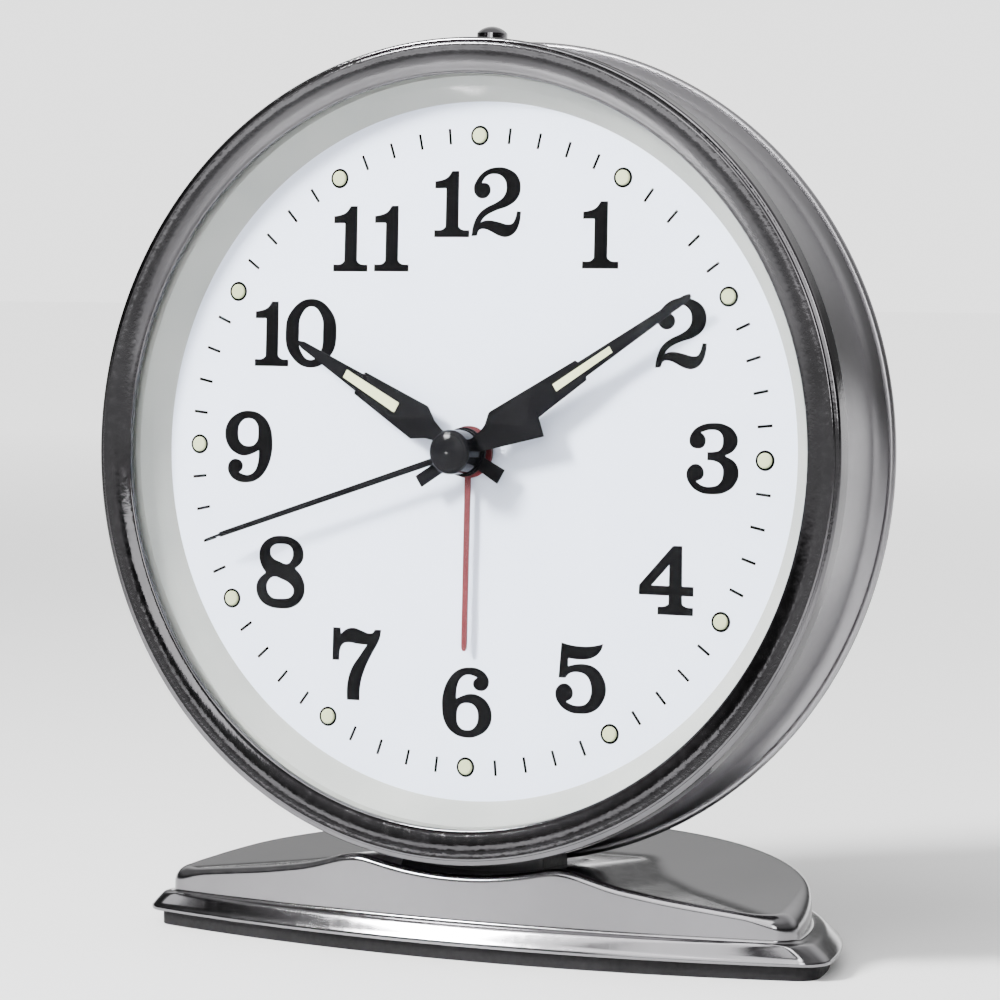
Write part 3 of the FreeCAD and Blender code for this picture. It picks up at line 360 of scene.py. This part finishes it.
class Lens:
    """Plan of a shallow front arc and a deep back arc with rounded tips."""

    def __init__(self, front, front_r, back_r, tip_r):
        self.front = (0.0, front + front_r, front_r)
        self.back = (0.0, BACK_ARC_Y, back_r)
        between = self.front[1] - self.back[1]
        near, far = front_r - tip_r, back_r - tip_r
        up = (far * far - near * near + between * between) / (2 * between)
        self.tip = (math.sqrt(far * far - up * up), self.back[1] + up, tip_r)

    def outline(self):
        """Points with outward normals: the front from -x to +x, a tip, the back, the other tip."""
        tip_x, tip_y, tip_r = self.tip
        front_turn = math.atan2(tip_x, self.front[1] - tip_y)
        back_turn = math.atan2(tip_x, tip_y - self.back[1])
        tip_turn = math.pi - front_turn - back_turn
        # each stretch: its arc, first angle, turn, steps, and how many points at each end to leave out
        stretches = (
            (self.front, -math.pi / 2 - front_turn, 2 * front_turn, FRONT_STEPS, 0),
            ((tip_x, tip_y, tip_r), -math.pi / 2 + front_turn, tip_turn, TIP_STEPS, 1),
            (self.back, math.pi / 2 - back_turn, 2 * back_turn, FRONT_STEPS, 0),
            ((-tip_x, tip_y, tip_r), math.pi / 2 + back_turn, tip_turn, TIP_STEPS, 1),
        )
        loop = []
        for (centre_x, centre_y, radius), first, turn, steps, skipped in stretches:
            for step in range(skipped, steps + 1 - skipped):
                angle = first + turn * step / steps
                out_x, out_y = math.cos(angle), math.sin(angle)
                loop.append((centre_x + radius * out_x, centre_y + radius * out_y, out_x, out_y))
        return loop


def ease(value, low, high):
    """0 below low, 1 above high, smooth between."""
    share = min(1.0, max(0.0, (value - low) / (high - low)))
    return share * share * (3 - 2 * share)


def soft_max(one, two):
    """The larger of two heights, with a fillet where they cross."""
    blend = max(0.0, 1 - abs(one - two) / VALLEY)
    return max(one, two) + blend * blend * VALLEY / 4


def ridge_profile(x):
    """Height of the ridge's cross-section, straight between its corners."""
    x = abs(x)
    if x <= RIDGE[0][0]:
        return RIDGE[0][1]
    for (x0, z0), (x1, z1) in zip(RIDGE, RIDGE[1:]):
        if x <= x1:
            return z0 + (z1 - z0) * (x - x0) / (x1 - x0)
    return RIDGE[-1][1]


def ridge_height(x):
    """The cross-section with its corners eased."""
    return sum(ridge_profile(x + RIDGE_EASE * step / 3) for step in range(-3, 4)) / 7


def top_height(x, y):
    """Upper face of the base: a deck that climbs to the back, the ridge, and the drum's hollow."""
    deck = DECK_HEIGHT + DECK_SLOPE * y
    ridge = ridge_height(x) - RIDGE_FALL * (y - RIDGE_CREST_Y)
    height = soft_max(deck, ridge)
    if abs(x) < SADDLE_HALF_X and y < SADDLE_END_Y:
        drop = math.sqrt(SADDLE_R ** 2 - x * x) + y * math.sin(LEAN)
        hollow = DIAL_HEIGHT - drop / math.cos(LEAN)
        hollow += SADDLE_LIFT * ease(y, *SADDLE_RISE)
        height = -soft_max(-height, -hollow)
    return height


def crease_radius(x, y):
    """Radius of the rounding over the walls: it grows to the sides and shrinks to the back."""
    return CREASE + CREASE_EXTRA * ease(abs(x), 38.0, 46.0) * (1 - ease(y, 8.0, 30.0))


def inset(plan, distance, z):
    """Loop of points at a distance in from a plan, or out from it where that is negative."""
    return [(x - out_x * distance, y - out_y * distance, z) for x, y, out_x, out_y in plan]


def skirt_loops(plan, rim):
    """From the underside, up the lip and in over the sloping face to the foot of the walls."""
    loops = [inset(rim, distance, z) for distance, z in SKIRT_LIP]
    ends = list(zip(loops[-1], inset(plan, -SKIRT_GAP, FOOT)))
    for share, z in SKIRT_FACE:
        loops.append([(rim_x + (foot_x - rim_x) * share, rim_y + (foot_y - rim_y) * share, z)
                      for (rim_x, rim_y, _), (foot_x, foot_y, _) in ends])
    return loops


def wall_loops(plan, crease):
    """Up the walls and over the crease, whose radius changes from place to place."""
    loops = [inset(plan, -distance, z) for distance, z in FOOT_FILLET]
    tops = [top_height(x - out_x * radius, y - out_y * radius)
            for (x, y, out_x, out_y), radius in zip(plan, crease)]
    for share in (0.35, 0.7):
        loops.append([(x, y, WALL_LOW + (top - radius - WALL_LOW) * share)
                      for (x, y, _, _), radius, top in zip(plan, crease, tops)])
    for step in range(CREASE_STEPS):
        turn = math.pi / 2 * step / CREASE_STEPS
        back, down = 1 - math.cos(turn), 1 - math.sin(turn)
        loops.append([(x - out_x * radius * back, y - out_y * radius * back, top - radius * down)
                      for (x, y, out_x, out_y), radius, top in zip(plan, crease, tops)])
    return loops


def deck_faces(verts, plan, crease, last):
    """Strips over the top, each from a front point to the back point across from it."""
    count = len(plan)
    edge = [(x - out_x * radius, y - out_y * radius)
            for (x, y, out_x, out_y), radius in zip(plan, crease)]
    reach = TIP_STEPS // 2
    columns = []
    for at in range(1 - reach, FRONT_STEPS + reach):
        front_at = at % count
        back_at = (2 * FRONT_STEPS + TIP_STEPS - at) % count
        (x0, y0), (x1, y1) = edge[front_at], edge[back_at]
        column = [last + front_at]
        for step in range(DECK_STEPS + 1):
            share = step / DECK_STEPS
            x, y = x0 + (x1 - x0) * share, y0 + (y1 - y0) * share
            column.append(len(verts))
            verts.append((x, y, top_height(x, y)))
        column.append(last + back_at)
        columns.append(column)
    faces = []
    for one, two in zip(columns, columns[1:]):
        faces += zip(one, two, two[1:], one[1:])
    for column, tip in ((columns[0], -reach), (columns[-1], FRONT_STEPS + reach)):
        faces += [(a, b, last + tip % count) for a, b in zip(column, column[1:])]
    return faces


def base_shell():
    plan = Lens(*WALL_PLAN).outline()
    rim = Lens(*RIM_PLAN).outline()
    crease = [crease_radius(x, y) for x, y, _, _ in plan]
    loops = skirt_loops(plan, rim) + wall_loops(plan, crease)
    count = len(plan)
    last = (len(loops) - 1) * count
    verts = [point for loop in loops for point in loop]
    faces = []
    for low in range(0, last, count):
        for at in range(count):
            nxt = (at + 1) % count
            faces.append((low + at, low + nxt, low + count + nxt, low + count + at))
    faces += deck_faces(verts, plan, crease, last)
    shell = tidy_normals(new_piece("base_polished", verts, faces, placed=Matrix.Identity(4)))
    add(sharp_by_angle(shell, 50.0), base_metal, "clock", "base_shell")


base_shell()


# ---------------------------------------------------------------- materials of the CAD nodes
for name, mat in {
    "front_plate": black_moulded_and_shade, "middle_plate": black_moulded_and_shade, "movement_case": black_moulded_and_shade,
    "board_posts": black_moulded_and_shade, "light_switch": black_moulded_and_shade, "coil_bobbin": black_moulded_and_shade,
    "dial_shelf": black_moulded_and_shade, "rear_cover": black_moulded_and_shade, "battery_door": black_moulded_and_shade,
    "time_knob": black_knob, "alarm_knob": black_knob, "alarm_slider": black_knob,
    "timing_chip": black_knob, "minute_tube": black_knob, "hour_wheel": black_knob,
    "second_hand_cap": black_gloss, "hour_hand": hand_black, "minute_hand": hand_black,
    "second_hand": hand_black, "alarm_hand": red_paint,
    "hour_hand_lume": hand_lume, "minute_hand_lume": hand_lume, "dial_dots": dot_lume,
    "dial": dial_paint, "crystal_gasket": pad_rubber, "base_pad": pad_rubber,
    # the saddle bracket gets the black moulding as painted shade: it stands for the shadow in the gap between
    # the drum and the base's hollow
    "base_weight": casting, "base_plate": steel, "head_screws": steel, "saddle_bracket": black_moulded_and_shade,
    "cover_screws": steel, "plate_screws": steel, "button_spring": steel, "switch_bracket": steel,
    "second_arbor": steel, "top_button": polished, "button_bush": polished,
    "stator": sheet_iron, "coil_winding": copper, "battery_contact_plus": brass,
    "battery_contact_minus": brass, "sounder": brass, "circuit_board": board_green,
    "quartz_crystal": steel, "aa_battery": cell_sleeve, "rotor_magnet": ferrite,
    "first_wheel": white_nylon, "rotor_arbor": white_nylon, "third_wheel": white_nylon,
    "centre_wheel": white_nylon, "motion_wheel": white_nylon, "time_arbor": white_nylon,
    "alarm_wheel": white_nylon, "alarm_arbor": white_nylon,
}.items():
    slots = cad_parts[name].data.materials
    slots.clear()
    slots.append(mat)


# ---------------------------------------------------------------- printing on the dial
# Each figure is one or more closed outlines on a millimetre grid, baseline at 0.
# A point of two numbers is on a round stretch, and a third one marks a corner.
C = True
FIGURES = {
    "0": [[(0.0, 4.5), (0.75, 7.3), (3.75, 8.95), (6.75, 7.3), (7.5, 4.5), (6.75, 1.7),
           (3.75, 0.05), (0.75, 1.7)],
          [(2.0, 4.5), (2.35, 6.9), (3.75, 7.95), (5.15, 6.9), (5.5, 4.5), (5.15, 2.1),
           (3.75, 1.05), (2.35, 2.1)]],
    "1": [[(0, 0, C), (5, 0, C), (5, 0.9, C), (3.95, 0.98), (3.45, 1.35, C), (3.4, 8.4, C),
           (2.4, 8.4, C), (1.75, 7.6), (0.7, 7.2), (0, 7.1, C), (0, 6.2, C), (1.55, 6.2, C),
           (1.6, 6.1, C), (1.6, 1.35, C), (1.15, 0.98), (0, 0.9, C)]],
    "2": [[(0.0, 0.1, C), (0.8, 0.15, C), (1.1, 0.85), (1.75, 1.0), (2.7, 0.7), (3.9, 0.15),
           (5.0, 0.0), (6.1, 0.55), (6.7, 1.6), (6.95, 3.2, C), (6.35, 3.25, C), (6.1, 2.3),
           (5.75, 1.75), (5.1, 1.6), (4.0, 1.85), (2.6, 2.1), (1.8, 2.05), (1.3, 1.85, C),
           (1.8, 2.5), (3.3, 3.3), (5.2, 3.95), (6.4, 4.9), (6.8, 6.1), (6.4, 7.6), (5.2, 8.5),
           (3.5, 8.8), (1.7, 8.3), (0.6, 7.2), (0.2, 6.1), (0.6, 5.2), (1.45, 4.85),
           (2.3, 5.2), (2.6, 5.95), (2.2, 6.7), (1.35, 6.85, C), (1.9, 7.6), (3.05, 7.95),
           (4.3, 7.5), (4.8, 6.4), (4.5, 5.2), (3.5, 4.4), (2.0, 3.7), (0.9, 2.8), (0.25, 1.5)]],
    "3": [[(1.3, 1.55, C), (2.1, 2.0), (2.3, 2.65), (1.95, 3.4), (1.15, 3.7), (0.3, 3.3),
           (-0.05, 2.4), (0.5, 1.1), (1.7, 0.25), (3.3, 0.0), (5.4, 0.4), (6.6, 1.5), (6.95, 2.7),
           (6.5, 3.95), (5.1, 4.8, C), (6.25, 5.5), (6.75, 6.6), (6.3, 7.8), (5.2, 8.55),
           (3.5, 8.8), (1.6, 8.4), (0.6, 7.6), (0.25, 6.6), (0.5, 5.9), (1.3, 5.6), (2.1, 5.8),
           (2.45, 6.5), (2.25, 7.2), (1.8, 7.6, C), (3.2, 7.95), (4.4, 7.6), (4.75, 6.6),
           (4.4, 5.55), (3.5, 5.25), (2.7, 5.2, C), (2.7, 4.2, C), (3.7, 4.1), (4.6, 3.6),
           (4.85, 2.6), (4.4, 1.4), (3.3, 0.95), (2.0, 1.1)]],
    "4": [[(2.6, 0, C), (7.4, 0, C), (7.4, 1.0, C), (6.5, 1.05), (5.9, 1.35, C), (5.85, 2.4, C),
           (7.4, 2.4, C), (7.4, 3.6, C), (5.85, 3.6, C), (5.75, 8.6, C), (4.5, 8.6, C),
           (0, 3.6, C), (0, 2.4, C), (4.05, 2.4, C), (4.05, 1.35, C), (3.5, 1.05), (2.6, 1.0, C)],
          [(1.7, 3.6, C), (4.05, 6.2, C), (4.05, 3.6, C)]],
    "5": [[(1.5, 1.45, C), (2.2, 1.9), (2.4, 2.6), (2.0, 3.4), (1.15, 3.7), (0.3, 3.3),
           (-0.05, 2.4), (0.5, 1.1), (1.7, 0.25), (3.2, 0.0), (5.3, 0.4), (6.5, 1.6), (6.95, 3.1),
           (6.5, 4.7), (5.4, 5.85), (3.9, 6.25), (2.6, 6.15), (1.65, 5.9, C), (1.65, 6.9, C),
           (3.3, 6.8), (5.0, 7.1), (6.1, 8.0), (6.45, 8.9, C), (5.0, 8.55), (3.3, 8.45),
           (1.7, 8.6), (0.65, 8.85, C), (0.35, 4.4, C), (1.3, 4.4, C), (1.9, 5.0), (3.1, 5.2),
           (4.2, 4.8), (4.85, 3.6), (4.8, 2.2), (4.2, 1.3), (3.1, 1.0), (2.1, 1.15)]],
    "6": [[(4.9, 7.7, C), (4.4, 7.2), (4.45, 6.5), (5.2, 6.05), (6.15, 6.25), (6.6, 7.1),
           (6.3, 8.0), (5.4, 8.7), (3.9, 8.95), (2.1, 8.5), (0.8, 7.2), (0.1, 5.4), (0.0, 3.8),
           (0.4, 1.9), (1.5, 0.6), (3.4, 0.0), (5.4, 0.4), (6.7, 1.5), (7.1, 3.0), (6.6, 4.4),
           (5.5, 5.3), (4.1, 5.6), (2.9, 5.3), (2.0, 4.9, C), (2.1, 6.4), (2.7, 7.6), (3.7, 8.0)],
          [(2.15, 2.7), (2.5, 4.0), (3.6, 4.4), (4.7, 4.0), (5.15, 2.7), (4.7, 1.4), (3.6, 0.95),
           (2.5, 1.4)]],
    "7": [[(2.25, 0, C), (4.1, 0, C), (4.15, 1.8), (4.7, 3.9), (5.7, 6.0), (6.8, 8.0),
           (7.05, 9.2, C), (6.1, 9.2, C), (5.8, 8.8), (5.2, 8.7), (4.2, 9.0), (3.0, 9.3),
           (2.0, 9.1), (1.2, 8.5, C), (1.1, 9.25, C), (0, 9.25, C), (0, 5.05, C), (1.0, 5.05, C),
           (1.1, 6.4), (1.5, 7.15), (2.4, 7.4), (3.6, 7.25), (5.0, 7.2, C), (4.0, 5.8),
           (2.8, 4.0), (2.25, 2.0)]],
    "8": [[(1.3, 4.6, C), (0.3, 3.7), (-0.05, 2.6), (0.5, 1.1), (1.8, 0.25), (3.6, 0.0),
           (5.5, 0.3), (6.8, 1.4), (7.15, 2.8), (6.7, 4.2), (5.7, 5.3, C), (6.6, 6.1), (6.9, 7.1),
           (6.4, 8.4), (5.2, 9.2), (3.6, 9.45), (1.9, 9.15), (0.7, 8.2), (0.3, 7.0), (0.6, 5.6)],
          [(1.95, 7.4), (2.3, 8.1), (3.6, 8.4), (4.9, 8.1), (5.3, 7.3), (5.05, 6.3), (4.5, 5.85),
           (3.4, 6.1), (2.3, 6.6)],
          [(1.55, 2.5), (1.8, 3.6), (2.6, 4.1), (3.6, 3.85), (5.0, 3.2), (5.5, 2.4), (5.1, 1.6),
           (3.8, 1.3), (2.2, 1.5)]],
}


SIX_WIDTH = 7.1
NINE_TOP, NINE_STRETCH = 9.35, 1.045


def figure_outlines(figure):
    """A 9 is a 6 turned upside down and made a little taller."""
    if figure != "9":
        return FIGURES[figure]
    return [[(SIX_WIDTH - p[0], NINE_TOP - p[1] * NINE_STRETCH, *p[2:]) for p in line]
            for line in FIGURES["6"]]


def print_figures(name, placed):
    """Flat filled outlines of figures; placed gives (figure, x, z) of each one's lower left corner."""
    curve = bpy.data.curves.new(name, "CURVE")
    curve.dimensions = "2D"
    curve.fill_mode = "BOTH"
    curve.resolution_u = 8
    for figure, left, base in placed:
        for line in figure_outlines(figure):
            spline = curve.splines.new("BEZIER")
            spline.bezier_points.add(len(line) - 1)
            spline.use_cyclic_u = True
            for point, place in zip(spline.bezier_points, line):
                point.co = ((left + place[0]) * MM, (base + place[1]) * MM, 0)
                kind = "VECTOR" if len(place) == 3 else "AUTO"
                point.handle_left_type = kind
                point.handle_right_type = kind
    source = bpy.data.objects.new(name + "_outline", curve)
    mesh = bpy.data.meshes.new_from_object(source)
    bpy.data.objects.remove(source)
    bpy.data.curves.remove(curve)
    upright = Matrix.Translation((0, NUMERAL_FRONT * MM, 0)) @ Matrix.Rotation(math.pi / 2, 4, "X")
    mesh.transform(HEAD @ upright)
    piece = bpy.data.objects.new(name, mesh)
    bpy.context.scene.collection.objects.link(piece)
    return piece


NUMERALS = [("1", -6.2, 27.15), ("2", -0.9, 27.2), ("1", 14.65, 23.3), ("2", 24.95, 11.0), ("3", 29.6, -4.35),
            ("4", 23.5, -19.45), ("5", 12.4, -32.35), ("6", -3.55, -36.25), ("7", -19.55, -32.35),
            ("8", -31.0, -21.05), ("9", -36.2, -4.85), ("1", -32.0, 10.35), ("0", -27.5, 10.2),
            ("1", -20.7, 22.7), ("1", -14.75, 22.75)]
add(print_figures("dial_numerals", NUMERALS), black_print, "clock")


STROKE_LOW, STROKE_HIGH = 39.1, 41.1     # radii of a stroke's ends
STROKE_HALF = 0.18                       # half its width
DOT_RING = (0.9, 1.27)                   # inner and outer radius of the ring round a dot
DOT_RING_STEPS = 48


def minute_track():
    """Short strokes at each minute and a ring round each hour's dot."""
    points, faces = [], []
    low, high, half = STROKE_LOW, STROKE_HIGH, STROKE_HALF
    for minute in range(60):
        if minute % 5 == 0:
            continue
        angle = math.radians(6.0 * minute)
        along = Vector((math.sin(angle), 0, math.cos(angle)))
        across = Vector((math.cos(angle), 0, -math.sin(angle)))
        first = len(points)
        for radius, side in ((low, -half), (low, half), (high, half), (high, -half)):
            points.append(along * radius + across * side + Vector((0, NUMERAL_FRONT, 0)))
        faces.append((first, first + 1, first + 2, first + 3))
    for hour in range(12):
        angle = math.radians(30.0 * hour)
        x, z = DOT_CIRCLE_R * math.sin(angle), DOT_CIRCLE_R * math.cos(angle)
        first = len(points)
        for step in range(DOT_RING_STEPS):
            turn = 2 * math.pi * step / DOT_RING_STEPS
            across, up = math.cos(turn), math.sin(turn)
            for radius in DOT_RING:
                points.append((x + radius * across, NUMERAL_FRONT, z + radius * up))
        for step in range(DOT_RING_STEPS):
            a, b = first + 2 * step, first + 2 * ((step + 1) % DOT_RING_STEPS)
            faces.append((a, a + 1, b + 1, b))
    return new_piece("minute_track", points, faces, smooth=False)


add(minute_track(), black_print, "clock")


# ---------------------------------------------------------------- stage
MIX_A, MIX_B, MIX_RESULT = 6, 7, 2       # colour sockets of a Mix node


def coordinate(tree, space, axis):
    """One axis of a texture coordinate."""
    place = node(tree, "ShaderNodeTexCoord")
    parts = node(tree, "ShaderNodeSeparateXYZ")
    tree.links.new(place.outputs[space], parts.inputs["Vector"])
    return parts.outputs[axis]


def stage(half=3.0):
    """A square floor, half its width given in metres."""
    mesh = bpy.data.meshes.new("floor")
    corners = [(-half, -half, 0), (half, -half, 0), (half, half, 0), (-half, half, 0)]
    mesh.from_pydata(corners, [], [(0, 1, 2, 3)])
    floor = bpy.data.objects.new("floor", mesh)
    bpy.context.scene.collection.objects.link(floor)
    mat, tree, shader = material("pale_floor")
    shader.inputs["Roughness"].default_value = 0.45
    tree.links.new(ramp(tree, noise(tree, 3.0), [(0.4, 0.88), (0.6, 0.90)]), shader.inputs["Base Color"])
    # the far floor glows a little, so that it meets the pale room without a line
    far = ramp(tree, coordinate(tree, "Object", "Y"), [(0.05, 0.0), (0.3, 0.25), (1.0, 1.0)])
    tree.links.new(far, shader.inputs["Emission Color"])
    shader.inputs["Emission Strength"].default_value = 1.4
    mesh.materials.append(mat)


def light(name, place, aim, size, power, spread=180.0):
    """Area light of a width and a height in metres that faces a point."""
    data = bpy.data.lights.new(name, "AREA")
    data.spread = math.radians(spread)
    data.shape = "RECTANGLE"
    data.size, data.size_y = size
    data.energy = power
    lamp = bpy.data.objects.new(name, data)
    lamp.location = place
    lamp.rotation_euler = (Vector(aim) - Vector(place)).to_track_quat("-Z", "Y").to_euler()
    bpy.context.scene.collection.objects.link(lamp)


stage()
light("key", (-0.55, -0.75, 0.75), (0, 0, 0.07), (0.25, 0.25), 3.6, spread=50)
light("fill", (0.35, -0.95, 0.35), (0, 0, 0.07), (0.3, 0.3), 0.25, spread=50)
light("floor_left", (-0.45, -0.60, 0.70), (-0.20, -0.27, 0), (0.08, 0.08), 0.5, spread=16)
light("low_strip", (-0.46, -0.88, 0.19), (0, 0, 0.03), (0.30, 0.10), 0.20)
light("front_box", (0.10, -1.05, 0.42), (0, 0, 0.03), (0.60, 0.50), 3.8)
light("overhead", (-0.20, -0.72, 0.88), (-0.05, -0.10, 0), (0.90, 0.75), 11.5)


def studio():
    """A pale room behind and above the clock, and a dimmer one in front of it."""
    world = bpy.data.worlds.new("studio")
    bpy.context.scene.world = world
    world.use_nodes = True
    tree = world.node_tree
    back = tree.nodes["Background"]
    depth = ramp(tree, coordinate(tree, "Generated", "Y"), [(0.0, 0.25), (0.25, 0.30), (0.65, 1.0)])
    up = coordinate(tree, "Generated", "Z")
    height = ramp(tree, up, [(0.0, 0.85), (0.05, 0.85), (0.10, 0.07), (0.21, 0.07), (0.32, 0.29),
                             (0.5, 0.6)])
    room = node(tree, "ShaderNodeMix", data_type="RGBA", blend_type="MULTIPLY")
    room.inputs["Factor"].default_value = 1.0
    tree.links.new(depth, room.inputs[MIX_A])
    tree.links.new(height, room.inputs[MIX_B])
    lit = node(tree, "ShaderNodeMix", data_type="RGBA")
    tree.links.new(ramp(tree, up, [(0.65, 0.0), (0.9, 1.0)]), lit.inputs["Factor"])
    tree.links.new(room.outputs[MIX_RESULT], lit.inputs[MIX_A])
    lit.inputs[MIX_B].default_value = (0.4, 0.4, 0.4, 1.0)
    tree.links.new(lit.outputs[MIX_RESULT], back.inputs["Color"])
    back.inputs["Strength"].default_value = 2.8


studio()


# ---------------------------------------------------------------- camera
SENSOR_WIDTH, LENS = 36.0, 145.6         # millimetres
CAMERA_PLACE = (0.22946, -0.45690, 0.09471)
CAMERA_FACING = (-0.44161, 0.89431, -0.07210)

camera_data = bpy.data.cameras.new("camera")
camera_data.sensor_width = SENSOR_WIDTH
camera_data.lens = LENS
camera = bpy.data.objects.new("camera", camera_data)
camera.location = CAMERA_PLACE
camera.rotation_euler = Vector(CAMERA_FACING).to_track_quat("-Z", "Y").to_euler()
bpy.context.scene.collection.objects.link(camera)
bpy.context.scene.camera = camera
